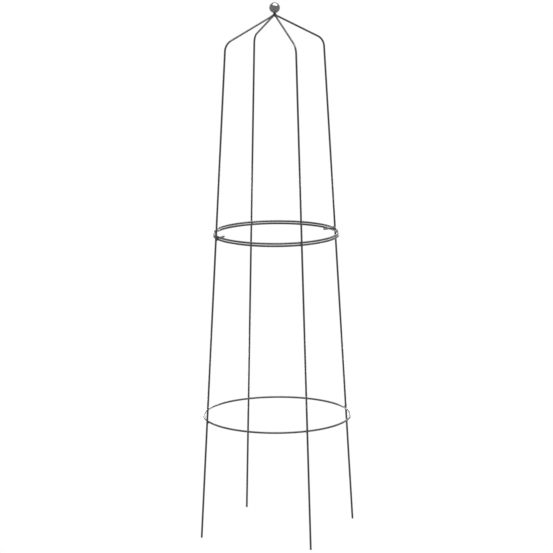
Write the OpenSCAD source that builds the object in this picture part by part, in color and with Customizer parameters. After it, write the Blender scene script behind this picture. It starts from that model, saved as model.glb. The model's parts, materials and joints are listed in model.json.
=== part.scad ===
// Garden obelisk: a four-legged wire plant support in two sections, with a ball finial.
// Each leg lies in a vertical plane through the centre line. Leg 1 stands on +X and the
// others follow anticlockwise at quarter turns. Z = 0 is the ground.

/* [Legs] */
// Overall height, from the leg ends to the top of the ball
overall_h = 1499; // [1400:1:1600]
// Diameter of the wire that the legs and hoops are made of
wire_d = 5.5; // [5:0.5:6.5]
// Circle through the centres of the leg ends
base_d = 467; // [420:1:520]
// Circle through the corners where the legs turn in to the top
shoulder_d = 294; // [260:1:340]
// Height of those corners
shoulder_z = 1391; // [1340:1:1400]
// Centre line radius of the bend at each corner
bend_r = 34; // [15:1:40]

/* [Hoops] */
// Height of the single lower ring
ring_z = 333; // [250:1:450]
// Height at which the two sections part, halfway between their hoops
split_z = 854; // [750:1:950]
// Clear gap between the two hoops
hoop_gap = 1.3; // [1:0.1:3]
// Gap between a leg and a hoop, which the weld fills
weld_gap = 0.5; // [0.4:0.1:1]
// Reach of the upper hoop's turned-in end, from the hoop's centre line
upper_tail = 34; // [20:1:50]
// Reach of the lower hoop's turned-in end
lower_tail = 24; // [20:1:50]
// Angle at which the lower hoop's end rises inside the upper hoop
lower_tail_rise = 12; // [0:1:15]

/* [Finial] */
// Diameter of the ball
ball_d = 30; // [24:1:40]
// Diameter of the stud that carries the ball
stud_d = 6; // [5:0.5:8]
// Length of the neck, from the point where the arms meet to the ball
neck_h = 4; // [3:0.5:10]
// Length of stud inside the ball
stud_in_ball = 12; // [8:1:15]

/* [Section joints] */
// Diameter of the pin inside each leg joint
pin_d = 3; // [2.5:0.1:3.2]
// Length of each pin, half of it in each leg
pin_h = 16; // [10:1:18]
// Radial clearance of a pin or stud in a hole that it leaves
running = 0.05; // [0.02:0.01:0.1]

/* [Hidden] */

leg_count = 4;
wire_r = wire_d / 2;
base_r = base_d / 2;
shoulder_r = shoulder_d / 2;
apex_z = overall_h - ball_d - neck_h;
lean = atan((base_r - shoulder_r) / shoulder_z);
arm_rise = atan((apex_z - shoulder_z) / shoulder_r);
turn = 90 - lean - arm_rise;
bend_cut = bend_r * tan(turn / 2);
corner_along = shoulder_z / cos(lean);

// The bend is a hair thicker than the straight wire, which runs a short way into it,
// so no two of their surfaces coincide.
bend_proud = 0.01;
bend_lap = 0.3;

// The arms are cut square where their lower edges meet the stud.
arm_end_r = stud_d / 2 + wire_r * sin(arm_rise);
arm_h = (shoulder_r - arm_end_r) / cos(arm_rise) - bend_cut;

// Hoop heights, and the radius of a hoop that stands the weld gap inside the legs
hoop_step = (wire_d + hoop_gap) / 2;
upper_hoop_z = split_z + hoop_step;
lower_hoop_z = split_z - hoop_step;
function leg_r(z) = base_r - z * tan(lean);
function hoop_r(z) = leg_r(z) - (wire_d + weld_gap) / cos(lean);

// A hoop's end turns in beside a leg: the bend starts just past the leg.
tail_bend_r = 8;
tail_start = 4;
close_gap = 0.4;

// Weld beads. Those at the legs stand less than half the hoop gap proud of the wire,
// so the two hoops' beads stay clear of each other.
bead_proud = 0.45;
leg_bead_r = wire_r + bead_proud;
close_bead_r = 4;
apex_bead_r = 5;

hole_spare = 1;
pin_chamfer = 0.5;
stud_below = 4.5;
spare = 20;

wire_grey = [0.28, 0.28, 0.29];
weld_grey = [0.24, 0.24, 0.25];
steel_grey = [0.62, 0.62, 0.64];
$fn = 64;

// Puts its child on one leg's vertical plane
module at_leg(i) {
    rotate([0, 0, 360 / leg_count * i]) children();
}

// Layer between two heights, wide enough to cut the legs of one section
module layer(z_low, z_high) {
    translate([-base_r, -base_r, z_low]) cube([base_d + spare, base_d, z_high - z_low]);
}

// Frame with its origin at a leg's foot and Z up along the leg
module along_leg() {
    translate([base_r, 0, 0]) rotate([0, -lean, 0]) children();
}

module leg_axis_wire() {
    along_leg() translate([0, 0, -spare])
        cylinder(r = wire_r, h = corner_along - bend_cut + bend_lap + spare);
}

// Straight wire, corner bend and arm, up to the stud
module bent_wire() {
    leg_axis_wire();
    along_leg() translate([-bend_r, 0, corner_along - bend_cut]) {
        rotate([90, 0, 0]) rotate_extrude(angle = turn)
            translate([bend_r, 0]) circle(r = wire_r + bend_proud);
        rotate([0, -turn, 0]) translate([bend_r, 0, -bend_lap]) cylinder(r = wire_r, h = arm_h + bend_lap);
    }
}

// Upright hole on a leg's centre line at the parting height
module joint_hole(r, depth, side) {
    translate([leg_r(split_z), 0, split_z])
        mirror([0, 0, side]) translate([0, 0, -hole_spare]) cylinder(r = r, h = depth + hole_spare);
}

module lower_leg() {
    color(wire_grey) difference() {
        intersection() {
            leg_axis_wire();
            layer(0, split_z);
        }
        joint_hole(pin_d / 2, pin_h / 2, 1);
    }
}

module upper_leg() {
    color(wire_grey) difference() {
        intersection() {
            bent_wire();
            layer(split_z, overall_h);
        }
        joint_hole(pin_d / 2 + running, pin_h / 2 + hole_spare, 0);
    }
}

module joint_pin() {
    pin_r = pin_d / 2;
    half = pin_h / 2;
    color(steel_grey) translate([leg_r(split_z), 0, split_z]) rotate_extrude() polygon([
        [0, -half], [pin_r - pin_chamfer, -half], [pin_r, pin_chamfer - half],
        [pin_r, half - pin_chamfer], [pin_r - pin_chamfer, half], [0, half]
    ]);
}

// Closed ring of wire
module ring_wire(z) {
    translate([0, 0, z]) rotate_extrude($fn = 360) translate([hoop_r(z), 0]) circle(r = wire_r);
}

// Angle round a hoop that a length along it takes up
function round_hoop(z, length) = length / hoop_r(z) * 180 / PI;

// Hoop of one wire. Seen from above it runs anticlockwise from its turned-in end,
// and its other end closes on the side of that bend.
module hoop_wire(z, tail, rise) {
    start = -round_hoop(z, tail_start);
    open = round_hoop(z, tail_bend_r + wire_r + close_gap);
    translate([0, 0, z]) rotate([0, 0, start]) {
        rotate_extrude(angle = 360 - open, $fn = 360) translate([hoop_r(z), 0]) circle(r = wire_r);
        translate([hoop_r(z), 0, 0]) rotate([0, rise, 0]) {
            translate([-tail_bend_r, 0, 0]) rotate([0, 0, -90]) rotate_extrude(angle = 90)
                translate([tail_bend_r, 0]) rotate(rise) circle(r = wire_r);
            translate([-tail_bend_r, -tail_bend_r, 0]) rotate([0, -90, 0]) rotate([0, 0, rise])
                cylinder(r = wire_r, h = tail - tail_bend_r);
        }
    }
}

// Bead in the gap between each leg and a ring
module leg_beads(z) {
    for (i = [0 : leg_count - 1])
        at_leg(i) difference() {
            translate([(leg_r(z) + hoop_r(z)) / 2, 0, z]) sphere(r = leg_bead_r);
            leg_axis_wire();
        }
}

// Bead that closes a hoop beside its turned-in end
module close_bead(z) {
    back = round_hoop(z, tail_start + tail_bend_r + wire_r);
    rotate([0, 0, -back]) translate([hoop_r(z) - wire_r, 0, z]) sphere(r = close_bead_r);
}

module lower_ring() {
    color(wire_grey) ring_wire(ring_z);
}

module lower_ring_welds() {
    color(weld_grey) difference() {
        leg_beads(ring_z);
        ring_wire(ring_z);
    }
}

// The lower hoop's end turns in beside leg 3, opposite the upper one.
module lower_hoop() {
    color(wire_grey) rotate([0, 0, 180]) hoop_wire(lower_hoop_z, lower_tail, lower_tail_rise);
}

module lower_hoop_welds() {
    color(weld_grey) difference() {
        union() {
            leg_beads(lower_hoop_z);
            rotate([0, 0, 180]) close_bead(lower_hoop_z);
        }
        rotate([0, 0, 180]) hoop_wire(lower_hoop_z, lower_tail, lower_tail_rise);
    }
}

module upper_hoop() {
    color(wire_grey) hoop_wire(upper_hoop_z, upper_tail, 0);
}

module upper_hoop_welds() {
    color(weld_grey) difference() {
        union() {
            leg_beads(upper_hoop_z);
            close_bead(upper_hoop_z);
        }
        hoop_wire(upper_hoop_z, upper_tail, 0);
    }
}

module stud(extra) {
    stud_z = apex_z - stud_below;
    stud_h = stud_below + neck_h + stud_in_ball;
    translate([0, 0, stud_z]) cylinder(r = stud_d / 2 + extra, h = stud_h + extra);
}

module finial_stud() {
    color(wire_grey) stud(0);
}

module apex_weld() {
    color(weld_grey) difference() {
        translate([0, 0, apex_z - arm_end_r * tan(arm_rise)]) sphere(r = apex_bead_r);
        for (i = [0 : leg_count - 1]) at_leg(i) bent_wire();
        stud(0);
    }
}

module finial_ball() {
    color(wire_grey) difference() {
        translate([0, 0, overall_h - ball_d / 2]) sphere(r = ball_d / 2, $fn = 96);
        stud(running);
    }
}

for (i = [0 : leg_count - 1]) {
    at_leg(i) lower_leg();
    at_leg(i) joint_pin();
    at_leg(i) upper_leg();
}
lower_ring();
lower_ring_welds();
lower_hoop();
lower_hoop_welds();
upper_hoop();
upper_hoop_welds();
apex_weld();
finial_stud();
finial_ball();
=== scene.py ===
import json
import math

import bmesh
import bpy
import numpy as np
from mathutils import Matrix, Vector


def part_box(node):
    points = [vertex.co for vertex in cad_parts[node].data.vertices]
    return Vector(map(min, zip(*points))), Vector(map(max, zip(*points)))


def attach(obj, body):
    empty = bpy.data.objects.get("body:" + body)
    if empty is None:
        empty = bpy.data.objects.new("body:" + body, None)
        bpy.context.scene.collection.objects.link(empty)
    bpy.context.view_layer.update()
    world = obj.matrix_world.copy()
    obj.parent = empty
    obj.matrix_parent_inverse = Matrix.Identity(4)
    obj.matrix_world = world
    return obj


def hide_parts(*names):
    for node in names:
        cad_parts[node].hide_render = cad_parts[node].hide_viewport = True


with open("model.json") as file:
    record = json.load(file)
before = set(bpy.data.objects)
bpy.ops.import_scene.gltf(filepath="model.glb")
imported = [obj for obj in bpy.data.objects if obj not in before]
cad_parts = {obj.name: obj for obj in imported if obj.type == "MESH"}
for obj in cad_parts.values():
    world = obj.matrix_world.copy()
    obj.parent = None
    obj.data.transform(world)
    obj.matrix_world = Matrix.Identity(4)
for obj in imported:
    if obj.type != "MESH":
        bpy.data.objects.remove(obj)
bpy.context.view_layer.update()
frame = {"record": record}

# ---------------------------------------------------------------- sizes, in metres
LEGS = (1, 2, 3, 4)
WIRE_R = 0.00275
SHOULDER_R, SHOULDER_Z = 0.147, 1.391   # where a leg's line meets its arm's line
BEND_R = 0.034                          # bend at that corner
NECK = 0.004                            # from where the arms meet to the ball
TAIL_BEND_R, TAIL_START = 0.008, 0.004  # turned-in end of a hoop
UPPER_TAIL, LOWER_TAIL = 0.034, 0.024
LOWER_TAIL_RISE = math.radians(12)
CLOSE_GAP = 0.0004                      # between a hoop's two ends
PIN_R, HOLE_R = 0.0015, 0.00155
PIN_HALF, HOLE_DEPTH = 0.008, 0.009
CUT_EDGE = 0.0004                       # rounding of a cut wire end under its coat
PIN_EDGE = 0.0005                       # and of a pin's ends
STUD_LOW_EDGE, STUD_HIGH_EDGE = 0.0004, 0.0006
BALL_CLEARANCE = 0.00005                # round and above the stud inside the ball
BALL_MOUTH = 0.0006                     # rounding where the stud enters the ball
LEG_END_ZONE = 0.004                    # leg left free for its level cuts

# Weld beads: the lump in the middle, and how far the skin reaches along the wires
LEG_BEAD_R, LEG_BEAD_REACH = 0.0031, 0.0065
CLOSE_BEAD_R, CLOSE_BEAD_REACH = 0.0040, 0.0075
APEX_BEAD_R, APEX_BEAD_REACH = 0.0050, 0.0090
APEX_BEAD_LIFT = 0.001
BEAD_BLEND = 0.0024                     # width over which the skin runs from lump to wire
BEAD_PROUD, BEAD_SINK = 0.00022, 0.0006
RIPPLE_DEPTH, RIPPLE_STEP = 0.00010, 0.0019
RAY_START, RAY_STEPS = 0.0002, 90       # steps in which a bead's skin is looked for
STRAIGHT_STRETCH = 0.02                 # length of leg or arm that a bead's skin follows
LEG_BEAD_STRETCH, CLOSE_BEAD_STRETCH = 0.014, 0.02  # and of ring or hoop, each way
PARTING_GAP = 0.0002                    # from a hoop's weld beads to the parting of the sections
PIN_ROOM = 0.00185                      # radius round a joint's pin that those beads stay out of
BALL_GAP = 0.0001                       # from the top weld to the ball

SIDES = 32          # points round a wire
LATHE_SIDES = 96
BALL_STEPS = 64
STRAIGHT_STEP, TAIL_STEP = 0.02, 0.005
ARC_STEP = math.radians(3.0)
RIGHT, UP = Vector((1, 0, 0)), Vector((0, 0, 1))


def middle(node):
    low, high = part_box(node)
    return (low + high) / 2


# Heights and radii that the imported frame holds
split_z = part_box("lower_leg_1")[1].z
foot_r = Vector(frame["record"]["mounts"][0]["pos_m"]).x
ring_z = middle("lower_ring").z
ring_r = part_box("lower_ring")[1].x - WIRE_R
upper_hoop_z = middle("upper_hoop").z
lower_hoop_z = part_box("lower_hoop")[0].z + WIRE_R
upper_hoop_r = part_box("upper_hoop")[1].x - WIRE_R
lower_hoop_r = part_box("lower_hoop")[1].x - WIRE_R
ball_low, ball_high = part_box("finial_ball")
stud_low, stud_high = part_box("finial_stud")
apex_z = ball_low.z - NECK
lean = math.atan((foot_r - SHOULDER_R) / SHOULDER_Z)
arm_rise = math.atan((apex_z - SHOULDER_Z) / SHOULDER_R)


def leg_r(z):
    return foot_r - z * math.tan(lean)


# ---------------------------------------------------------------- mesh helpers
def new_piece(name, rings, body, replaces, material, closed=False, spin=0.0):
    """Skins rings of points with quads and caps both ends, then joins it to its body."""
    bm = bmesh.new()
    turn = Matrix.Rotation(spin, 4, "Z")
    layers = [[bm.verts.new(turn @ Vector(p)) for p in ring] for ring in rings]
    pairs = list(zip(layers, layers[1:]))
    if closed:
        pairs.append((layers[-1], layers[0]))
    for a, b in pairs:
        n = len(a)
        for i in range(n):
            bm.faces.new((a[i], a[(i + 1) % n], b[(i + 1) % n], b[i]))
    if not closed:
        for end in (layers[0], layers[-1]):
            centre = sum((v.co for v in end), Vector()) / len(end)
            hub = bm.verts.new(centre)
            for i in range(len(end)):
                bm.faces.new((end[i], end[(i + 1) % len(end)], hub))
    return finish_piece(name, bm, body, replaces, material)


def finish_piece(name, bm, body, replaces, material):
    """Turns a bmesh into a smooth-shaded piece that rides on its body and replaces its CAD nodes."""
    bmesh.ops.recalc_face_normals(bm, faces=bm.faces)
    if bm.calc_volume(signed=True) < 0:
        bmesh.ops.reverse_faces(bm, faces=bm.faces)
    mesh = bpy.data.meshes.new(name)
    bm.to_mesh(mesh)
    bm.free()
    for polygon in mesh.polygons:
        polygon.use_smooth = True
    piece = bpy.data.objects.new(name, mesh)
    bpy.context.scene.collection.objects.link(piece)
    mesh.materials.append(material)
    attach(piece, body)
    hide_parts(*replaces)
    return piece


def circle(centre, u, v, r):
    return [centre + u * (r * math.cos(a)) + v * (r * math.sin(a))
            for a in (2 * math.pi * i / SIDES for i in range(SIDES))]


def round_edge(r, edge, steps=4):
    """(radius, depth) of a rounded rim, from the flat end to the full radius."""
    for k in range(steps + 1):
        a = math.pi / 2 * k / steps
        yield r - edge + edge * math.sin(a), edge - edge * math.cos(a)


def line_path(start, end, step=STRAIGHT_STEP):
    """Points and directions along a straight line, both ends included."""
    count = max(1, round((end - start).length / step))
    way = (end - start).normalized()
    return [(start.lerp(end, k / count), way) for k in range(count + 1)]


def arc_path(centre, a, b, r, start, end):
    """Points and directions on an arc in the plane of unit vectors a and b."""
    count = max(2, math.ceil(abs(end - start) / ARC_STEP))
    sign = 1 if end > start else -1
    path = []
    for k in range(count + 1):
        t = start + (end - start) * k / count
        point = centre + a * (r * math.cos(t)) + b * (r * math.sin(t))
        path.append((point, (b * math.cos(t) - a * math.sin(t)) * sign))
    return path


def join_paths(*paths):
    """One path, leaving out the points that two neighbours share."""
    made = []
    for path in paths:
        for point, way in path:
            if made and (made[-1][0] - point).length < 1e-6:
                continue
            made.append((point, way))
    return made


def frames_along(path, first):
    """Rotation-minimising pairs of vectors across the path."""
    u = (first - path[0][1] * first.dot(path[0][1])).normalized()
    pairs = [(u, path[0][1].cross(u))]
    for (_, before), (_, after) in zip(path, path[1:]):
        u = before.rotation_difference(after) @ u
        u = (u - after * u.dot(after)).normalized()
        pairs.append((u, after.cross(u)))
    return pairs


def sweep(path, first, start_edge=CUT_EDGE):
    """Rings of a wire along a path, with rounded square-cut ends. A start edge of 0 leaves
    the start to the caller."""
    pairs = frames_along(path, first)
    rings = []
    (p0, d0), (u0, v0) = path[0], pairs[0]
    if start_edge:
        rings += [circle(p0 + d0 * depth, u0, v0, radius)
                  for radius, depth in round_edge(WIRE_R, start_edge)]
    for (p, d), (u, v) in list(zip(path, pairs))[1:-1]:
        rings.append(circle(p, u, v, WIRE_R))
    (p1, d1), (u1, v1) = path[-1], pairs[-1]
    rings += reversed([circle(p1 - d1 * depth, u1, v1, radius)
                       for radius, depth in round_edge(WIRE_R, CUT_EDGE)])
    return rings


def level_circle(origin, way, u, v, r, z):
    """Ring round a leaning wire's axis, slid along the wire onto one level."""
    return [p + way * ((z - p.z) / way.z) for p in circle(origin, u, v, r)]


# ---------------------------------------------------------------- materials
# Noise scales in cycles a metre
MOTTLE_SCALE, GLOSS_SCALE, LUMP_SCALE = 55.0, 140.0, 420.0
STEEL_SCALE, STEEL_GLOSS_SCALE = 900.0, 1500.0
RAMP_START, RAMP_END = 0.35, 0.65


def nodes_of(name):
    material = bpy.data.materials.new(name)
    material.use_nodes = True
    tree = material.node_tree
    return material, tree, tree.nodes["Principled BSDF"]


def noise(tree, scale, detail=3.0, roughness=0.5):
    """Noise over the piece's own coordinates, so that it stays put as the piece moves."""
    coords = tree.nodes.new("ShaderNodeTexCoord")
    node = tree.nodes.new("ShaderNodeTexNoise")
    node.inputs["Scale"].default_value = scale
    node.inputs["Detail"].default_value = detail
    node.inputs["Roughness"].default_value = roughness
    tree.links.new(coords.outputs["Object"], node.inputs["Vector"])
    return node.outputs["Fac"]


def ramp(tree, fac, low, high):
    """Spreads a noise over two colours or two values."""
    node = tree.nodes.new("ShaderNodeValToRGB")
    for element, place, value in zip(node.color_ramp.elements, (RAMP_START, RAMP_END), (low, high)):
        element.position = place
        element.color = (*value, 1) if isinstance(value, tuple) else (value, value, value, 1)
    tree.links.new(fac, node.inputs["Fac"])
    return node.outputs["Color"]


def bumps(tree, shader, layers):
    """Chains bump nodes: (height output, depth in metres)."""
    normal = None
    for height, depth in layers:
        node = tree.nodes.new("ShaderNodeBump")
        node.inputs["Strength"].default_value = 1.0
        node.inputs["Distance"].default_value = depth
        tree.links.new(height, node.inputs["Height"])
        if normal:
            tree.links.new(normal, node.inputs["Normal"])
        normal = node.outputs["Normal"]
    tree.links.new(normal, shader.inputs["Normal"])


def coat_paint(name, dark, light, metallic, rough, peel_scale, peel_depth, lump_depth=0.0, edge=1.0):
    """Powder coat: faint mottle, uneven gloss, orange peel and, on welds, lumps."""
    material, tree, shader = nodes_of(name)
    shader.inputs["Metallic"].default_value = metallic
    shader.inputs["Specular Tint"].default_value = (edge, edge, edge, 1)
    mottle = ramp(tree, noise(tree, MOTTLE_SCALE, 5.0, 0.6), dark, light)
    tree.links.new(mottle, shader.inputs["Base Color"])
    gloss = ramp(tree, noise(tree, GLOSS_SCALE), *rough)
    tree.links.new(gloss, shader.inputs["Roughness"])
    layers = [(noise(tree, peel_scale, 2.0, 0.45), peel_depth)]
    if lump_depth:
        layers.insert(0, (noise(tree, LUMP_SCALE, 2.0), lump_depth))
    bumps(tree, shader, layers)
    return material


def plated_steel(name):
    """Zinc-plated steel, turned: fine rings across the pin and a dull, uneven shine."""
    material, tree, shader = nodes_of(name)
    shader.inputs["Metallic"].default_value = 1.0
    tint = ramp(tree, noise(tree, STEEL_SCALE, 4.0), (0.50, 0.51, 0.53), (0.62, 0.62, 0.62))
    tree.links.new(tint, shader.inputs["Base Color"])
    gloss = ramp(tree, noise(tree, STEEL_GLOSS_SCALE), 0.28, 0.42)
    tree.links.new(gloss, shader.inputs["Roughness"])
    coords = tree.nodes.new("ShaderNodeTexCoord")
    wave = tree.nodes.new("ShaderNodeTexWave")
    wave.bands_direction = "Z"
    wave.inputs["Scale"].default_value = STEEL_SCALE
    wave.inputs["Distortion"].default_value = 0.4
    tree.links.new(coords.outputs["Object"], wave.inputs["Vector"])
    bumps(tree, shader, [(wave.outputs["Fac"], 0.000004)])
    return material


wire_paint = coat_paint("wire_paint", (0.013, 0.013, 0.0135), (0.021, 0.021, 0.0215), 0.0,
                        (0.26, 0.34), 700.0, 0.000003)
ball_paint = coat_paint("ball_paint", (0.130, 0.130, 0.132), (0.155, 0.155, 0.157), 1.0,
                        (0.10, 0.15), 420.0, 0.000006, edge=0.8)
# Weld coat: rougher and lumpy, and a little darker than the wire coat; that darkness is painted shade where
# the wires meet
weld_paint = coat_paint("weld_paint", (0.010, 0.010, 0.011), (0.020, 0.020, 0.021), 0.0,
                        (0.30, 0.42), 700.0, 0.000008, 0.00006)
steel = plated_steel("plated_steel")


# ---------------------------------------------------------------- legs
def spin_of(leg):
    return math.pi / 2 * (leg - 1)


foot = Vector((foot_r, 0, 0))
leg_way = Vector((-math.sin(lean), 0, math.cos(lean)))
across = Vector((0, 1, 0))
leg_side = across.cross(leg_way)
corner = Vector((SHOULDER_R, 0, SHOULDER_Z))
arm_way = Vector((-math.cos(arm_rise), 0, math.sin(arm_rise)))
turn = math.pi / 2 - lean - arm_rise
bend_cut = BEND_R * math.tan(turn / 2)
stud_r = (stud_high.x - stud_low.x) / 2
arm_end_r = stud_r + WIRE_R * math.sin(arm_rise)
arm_end = Vector((arm_end_r, 0, apex_z - arm_end_r * math.tan(arm_rise)))
joint_centre = Vector((leg_r(split_z), 0, split_z))


def at_level(z):
    return foot + leg_way * (z / leg_way.z)


def cut_level(z, inward):
    """Rings of a level cut with a rounded rim; inward is +1 if the wire is above it."""
    return [level_circle(foot, leg_way, leg_side, across, radius, z + inward * depth)
            for radius, depth in round_edge(WIRE_R, CUT_EDGE)]


def lower_leg_rings():
    """Foot, straight leg, level cut and the hole that the pin is pressed into."""
    straight = line_path(at_level(LEG_END_ZONE), at_level(split_z - LEG_END_ZONE))
    rings = cut_level(0, 1)
    rings += [circle(p, leg_side, across, WIRE_R) for p, _ in straight]
    rings += reversed(cut_level(split_z, -1))
    rings += [circle(joint_centre - UP * depth, RIGHT, across, PIN_R) for depth in (0, PIN_HALF)]
    return rings


def upper_leg_path():
    """Straight leg above its level cut, corner bend and arm."""
    bend_centre = corner - leg_way * bend_cut - leg_side * BEND_R
    bend = arc_path(bend_centre, leg_side, leg_way, BEND_R, 0, turn)
    return join_paths(line_path(at_level(split_z + LEG_END_ZONE), bend[0][0]), bend,
                      line_path(bend[-1][0], arm_end))


def upper_leg_rings():
    """The pin's loose hole, level cut, leg, bend and arm."""
    rings = [circle(joint_centre + UP * depth, RIGHT, across, HOLE_R) for depth in (HOLE_DEPTH, 0)]
    rings += cut_level(split_z, 1)
    return rings + sweep(upper_leg_path(), leg_side, start_edge=0)


def pin_rings():
    """Joint pin with rounded ends, half of it in each leg."""
    rim = list(round_edge(PIN_R, PIN_EDGE))
    profile = [(r, d - PIN_HALF) for r, d in rim]
    profile += [(PIN_R, k * 0.25 * PIN_HALF) for k in range(-3, 4)]
    profile += [(r, PIN_HALF - d) for r, d in reversed(rim)]
    return [circle(joint_centre + UP * h, RIGHT, across, r) for r, h in profile]


for leg in LEGS:
    new_piece(f"lower_leg_bar_{leg}", lower_leg_rings(), "lower_section",
              [f"lower_leg_{leg}"], wire_paint, spin=spin_of(leg))
    new_piece(f"upper_leg_bar_{leg}", upper_leg_rings(), "upper_section",
              [f"upper_leg_{leg}"], wire_paint, spin=spin_of(leg))
    new_piece(f"joint_pin_steel_{leg}", pin_rings(), "lower_section",
              [f"joint_pin_{leg}"], steel, spin=spin_of(leg))


# ---------------------------------------------------------------- ring and hoops
def hoop_path(z, r, tail, rise):
    """Turned-in end, bend and hoop, with the hoop's start on +X."""
    start = -TAIL_START / r
    span = 2 * math.pi - (TAIL_BEND_R + WIRE_R + CLOSE_GAP) / r
    inward = Vector((-math.cos(rise), 0, math.sin(rise)))
    root = Vector((r, 0, 0))
    bend_centre = root + inward * TAIL_BEND_R
    bend = arc_path(bend_centre, -inward, across, TAIL_BEND_R, -math.pi / 2, 0)
    tip = root + inward * tail - across * TAIL_BEND_R
    hoop = arc_path(Vector(), RIGHT, across, r, 0, span)
    path = join_paths(line_path(tip, bend[0][0], TAIL_STEP), bend, hoop)
    place = Matrix.Translation((0, 0, z)) @ Matrix.Rotation(start, 4, "Z")
    return [(place @ p, place.to_3x3() @ d) for p, d in path]


closed_ring = arc_path(Vector((0, 0, ring_z)), RIGHT, across, ring_r, 0, 2 * math.pi)[:-1]
new_piece("lower_ring_wire", [circle(p, p.xy.normalized().to_3d(), UP, WIRE_R) for p, _ in closed_ring],
          "lower_section", ["lower_ring"], wire_paint, closed=True)
upper_path = hoop_path(upper_hoop_z, upper_hoop_r, UPPER_TAIL, 0)
lower_path = hoop_path(lower_hoop_z, lower_hoop_r, LOWER_TAIL, LOWER_TAIL_RISE)
new_piece("upper_hoop_wire", sweep(upper_path, UP), "upper_section",
          ["upper_hoop"], wire_paint)
new_piece("lower_hoop_wire", sweep(lower_path, UP), "lower_section",
          ["lower_hoop"], wire_paint, spin=math.pi)


# ---------------------------------------------------------------- weld beads
def segment_distance(points, path):
    """Distance of each point to a path of points."""
    best = np.full(len(points), 1e9)
    for a, b in zip(path, path[1:]):
        a, b = np.array(a), np.array(b)
        way = b - a
        t = np.clip(((points - a) @ way) / (way @ way), 0, 1)
        best = np.minimum(best, np.linalg.norm(points - a - t[:, None] * way, axis=1))
    return best


def smooth_union(a, b, k):
    h = np.clip(0.5 + 0.5 * (b - a) / k, 0, 1)
    return b + (a - b) * h - k * h * (1 - h)


def near(path, centre, reach):
    """The stretch of a path around a centre."""
    kept = [p for p, _ in path if (p - centre).length < reach]
    return kept if len(kept) > 1 else []


def past_bounds(points, side):
    """How far points lie where a bead may not go: the ball, and for a bead on one side of
    the parting, the other side and the room round the joint's pin. Below zero is free."""
    past = points[:, 2] - (ball_low.z - BALL_GAP)
    if side:
        past = np.maximum(past, PARTING_GAP - side * (points[:, 2] - split_z))
        past = np.maximum(past, PIN_ROOM - np.hypot(points[:, 0] - leg_r(split_z), points[:, 1]))
    return past


def bead_mesh(bm, centre, wires, bead_r, reach, spin, seed, fine=4, side=0):
    """Adds a weld bead: the smooth union of the wires and a lump, seen from its centre.
    Side is -1 or +1 for a bead that stays below or above the parting of the sections."""
    ball = bmesh.ops.create_icosphere(bm, subdivisions=fine, radius=1.0)["verts"]
    ways = np.array([v.co for v in ball], float)
    ways /= np.linalg.norm(ways, axis=1)[:, None]
    origin = np.array(centre)
    found = np.full(len(ways), reach)
    open_rays = np.ones(len(ways), bool)
    steps = np.linspace(RAY_START, reach, RAY_STEPS)
    last = np.full(len(ways), -1e-3)
    ripple_way = np.array([math.cos(seed), math.sin(seed), 0.6 * math.sin(2.3 * seed)])
    for previous, s in zip(np.concatenate(([0.0], steps)), steps):
        p = origin + ways * s
        field = np.linalg.norm(p - origin, axis=1) - bead_r
        for path, radius in wires:
            field = smooth_union(field, segment_distance(p, path) - radius, BEAD_BLEND)
        along = (p - origin) @ ripple_way
        ripple = RIPPLE_DEPTH * np.sin(along * 2 * math.pi / RIPPLE_STEP + seed)
        proud = BEAD_PROUD - BEAD_SINK * np.clip((s - bead_r) / (reach - bead_r), 0, 1)
        value = np.maximum(field - proud - ripple, past_bounds(p, side))
        crossed = open_rays & (value > 0)
        share = last[crossed] / (last[crossed] - value[crossed])
        found[crossed] = previous + (s - previous) * np.clip(share, 0, 1)
        open_rays &= ~crossed
        last = value
    turn_z = Matrix.Rotation(spin, 4, "Z")
    for v, way, r in zip(ball, ways, found):
        v.co = turn_z @ Vector(origin + way * r)


def ring_beads(name, z, r, ring_points, body, node, closing=None, side=0):
    """One piece with a bead at each leg, and one that closes a hoop's ends."""
    bm = bmesh.new()
    for leg in LEGS:
        centre = Vector(((leg_r(z) + r) / 2, 0, z))
        leg_line = [at_level(z - STRAIGHT_STRETCH), at_level(z + STRAIGHT_STRETCH)]
        turned = [(Matrix.Rotation(-spin_of(leg), 4, "Z") @ p, d) for p, d in ring_points]
        wires = [(leg_line, WIRE_R), (near(turned, centre, LEG_BEAD_STRETCH), WIRE_R)]
        bead_mesh(bm, centre, wires, LEG_BEAD_R, LEG_BEAD_REACH, spin_of(leg), 1.7 * leg + z * 9,
                  side=side)
    if closing:
        spin, path = closing
        back = (TAIL_START + TAIL_BEND_R + WIRE_R) / r
        centre = Matrix.Rotation(-back, 4, "Z") @ Vector((r - WIRE_R * 0.8, 0, z))
        half = len(path) // 2
        ends = [near(part, centre, CLOSE_BEAD_STRETCH) for part in (path[:half], path[half:])]
        wires = [(end, WIRE_R) for end in ends if end]
        bead_mesh(bm, centre, wires, CLOSE_BEAD_R, CLOSE_BEAD_REACH, spin, 4.1, side=side)
    return finish_piece(name, bm, body, [node], weld_paint)


half_turn = Matrix.Rotation(math.pi, 4, "Z")
ring_beads("lower_ring_beads", ring_z, ring_r, closed_ring + closed_ring[:1], "lower_section",
           "lower_ring_welds")
ring_beads("upper_hoop_beads", upper_hoop_z, upper_hoop_r, upper_path, "upper_section",
           "upper_hoop_welds", (0.0, upper_path), side=1)
ring_beads("lower_hoop_beads", lower_hoop_z, lower_hoop_r,
           [(half_turn @ p, d) for p, d in lower_path], "lower_section",
           "lower_hoop_welds", (math.pi, lower_path), side=-1)


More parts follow.
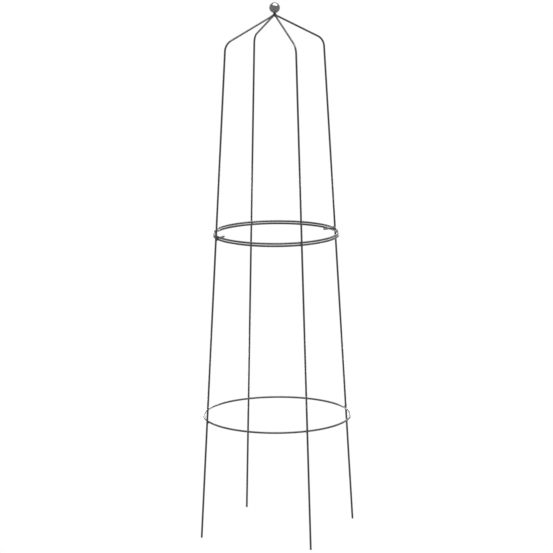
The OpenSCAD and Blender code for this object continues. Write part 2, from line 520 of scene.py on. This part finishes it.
# ---------------------------------------------------------------- top
def lathe(name, profile, body, node, material):
    """Turns (radius, height) pairs round the centre line; a zero radius is a pole."""
    bm = bmesh.new()
    count = LATHE_SIDES
    layers = []
    for r, z in profile:
        if r == 0:
            layers.append([bm.verts.new((0, 0, z))])
        else:
            layers.append([bm.verts.new((r * math.cos(a), r * math.sin(a), z))
                           for a in (2 * math.pi * i / count for i in range(count))])
    for a, b in zip(layers, layers[1:]):
        for i in range(count):
            j = (i + 1) % count
            corners = [a[i % len(a)], a[j % len(a)], b[j % len(b)], b[i % len(b)]]
            unique = list(dict.fromkeys(corners))
            if len(unique) > 2:
                bm.faces.new(unique)
    return finish_piece(name, bm, body, [node], material)


def ball_profile():
    """The ball's blind hole from its floor to its rounded mouth, then the ball up to its top."""
    ball_r = (ball_high.z - ball_low.z) / 2
    ball_z = (ball_high.z + ball_low.z) / 2
    hole_r = stud_r + BALL_CLEARANCE
    hole_top = stud_high.z + BALL_CLEARANCE
    hole_foot = ball_z - math.sqrt(ball_r ** 2 - hole_r ** 2)
    mouth_angle = math.asin((hole_r + BALL_MOUTH) / ball_r)
    profile = [(0, hole_top), (hole_r, hole_top), (hole_r, hole_foot + 2.2 * BALL_MOUTH),
               (hole_r, hole_foot + BALL_MOUTH), (hole_r + 0.3 * BALL_MOUTH, hole_foot + 0.35 * BALL_MOUTH)]
    for k in range(BALL_STEPS + 1):
        a = mouth_angle + (math.pi - mouth_angle) * k / BALL_STEPS
        r = ball_r * math.sin(a) if k < BALL_STEPS else 0
        profile.append((r, ball_z - ball_r * math.cos(a)))
    return profile


def stud_profile():
    """A bar with rounded ends."""
    bands = 8
    profile = [(0, stud_low.z)]
    profile += [(r, stud_low.z + d) for r, d in round_edge(stud_r, STUD_LOW_EDGE)]
    profile += [(stud_r, stud_low.z + (stud_high.z - stud_low.z) * k / bands) for k in range(1, bands)]
    profile += [(r, stud_high.z - d) for r, d in reversed(list(round_edge(stud_r, STUD_HIGH_EDGE)))]
    return profile + [(0, stud_high.z)]


def apex_bead():
    """The weld that joins the four arms and the stud."""
    wires = []
    for leg in LEGS:
        spin = Matrix.Rotation(spin_of(leg), 4, "Z")
        wires.append(([spin @ arm_end, spin @ (arm_end - arm_way * STRAIGHT_STRETCH)], WIRE_R))
    stud_line = [Vector((0, 0, stud_low.z + stud_r)), Vector((0, 0, ball_low.z + NECK))]
    wires.append((stud_line, stud_r))
    bm = bmesh.new()
    bead_mesh(bm, Vector((0, 0, arm_end.z + APEX_BEAD_LIFT)), wires, APEX_BEAD_R, APEX_BEAD_REACH,
              0.0, 0.7, fine=5)
    finish_piece("apex_bead", bm, "upper_section", ["apex_weld"], weld_paint)


lathe("finial_ball_shell", ball_profile(), "finial", "finial_ball", ball_paint)
lathe("finial_stud_bar", stud_profile(), "upper_section", "finial_stud", wire_paint)
apex_bead()


# ---------------------------------------------------------------- stage, light and camera
def stage_floor():
    """Plain pale floor, just below the feet."""
    half, level = 120.0, -0.0005
    corners = ((-half, -half), (half, -half), (half, half), (-half, half))
    bm = bmesh.new()
    bm.faces.new([bm.verts.new((x, y, level)) for x, y in corners])
    mesh = bpy.data.meshes.new("floor")
    bm.to_mesh(mesh)
    bm.free()
    floor = bpy.data.objects.new("floor", mesh)
    bpy.context.scene.collection.objects.link(floor)
    material, tree, shader = nodes_of("pale_floor")
    shader.inputs["Base Color"].default_value = (0, 0, 0, 1)
    shader.inputs["Specular IOR Level"].default_value = 0
    shader.inputs["Emission Color"].default_value = (1, 1, 1, 1)
    shader.inputs["Emission Strength"].default_value = 1.0
    mesh.materials.append(material)


stage_floor()

CAMERA_AT = Vector((-2.977, -7.058, 2.276))
CAMERA_AZIMUTH = math.radians(-22.87)
CAMERA_PITCH = 0.19901
CAMERA_ROLL = -0.00645
LENS, SENSOR, SHIFT = 181.7, 36.0, 0.00027
FAR_CLIP = 400.0

camera = bpy.data.objects.new("camera", bpy.data.cameras.new("camera"))
bpy.context.scene.collection.objects.link(camera)
camera.data.lens = LENS
camera.data.sensor_width = SENSOR
camera.data.shift_x = SHIFT
camera.data.clip_end = FAR_CLIP
camera.matrix_world = (Matrix.Translation(CAMERA_AT) @ Matrix.Rotation(CAMERA_AZIMUTH, 4, "Z")
                       @ Matrix.Rotation(math.pi / 2 - CAMERA_PITCH, 4, "X")
                       @ Matrix.Rotation(CAMERA_ROLL, 4, "Z"))
bpy.context.scene.camera = camera

VIEW = Matrix.Rotation(CAMERA_AZIMUTH, 4, "Z")  # turns (right, away, up) of the view into the frame
OVERHEAD, BACK = 11.0, 11.0     # radiance of the lights
BACK_AWAY = 0.5                 # from the centre line to the back lights


def softbox(name, place, target, width, height, radiance, shape="RECTANGLE"):
    """Area light at a place, facing a target, both as (right, away, up) of the view."""
    place, target = VIEW @ Vector(place), VIEW @ Vector(target)
    data = bpy.data.lights.new(name, "AREA")
    data.shape = shape
    data.size, data.size_y = width, height
    area = width * height * (math.pi / 4 if shape == "ELLIPSE" else 1)
    data.energy = radiance * math.pi * area
    lamp = bpy.data.objects.new(name, data)
    bpy.context.scene.collection.objects.link(lamp)
    lamp.location = place
    lamp.rotation_mode = "QUATERNION"
    lamp.rotation_quaternion = (place - target).to_track_quat("Z", "Y")
    lamp.visible_camera = False
    return lamp


def overhead():
    """Broad soft light above the obelisk, which the ball mirrors at its top."""
    lamp = softbox("overhead", (0.60, -0.25, 4.0), (0.60, -0.25, 0), 4.4, 2.4, OVERHEAD, "ELLIPSE")
    lamp.rotation_mode = "XYZ"
    lamp.rotation_euler = (0, 0, CAMERA_AZIMUTH)


def back_lights():
    """Small lights behind the ends of the ring and the hoops, which they turn pale."""
    for name, right, up, width, height in (("ring_right", 0.27, 0.34, 0.13, 0.24),
                                           ("ring_left", -0.26, 0.34, 0.16, 0.24),
                                           ("hoop_right", 0.235, 0.86, 0.13, 0.18),
                                           ("hoop_left", -0.24, 0.86, 0.12, 0.18)):
        softbox(name, (right, BACK_AWAY, up), (right, 0, up), width, height, BACK)


overhead()
back_lights()

world = bpy.data.worlds.new("studio")
world.use_nodes = True
world.node_tree.nodes["Background"].inputs["Color"].default_value = (1, 1, 1, 1)
world.node_tree.nodes["Background"].inputs["Strength"].default_value = 1.0
bpy.context.scene.world = world
bpy.context.scene.view_settings.view_transform = "Standard"
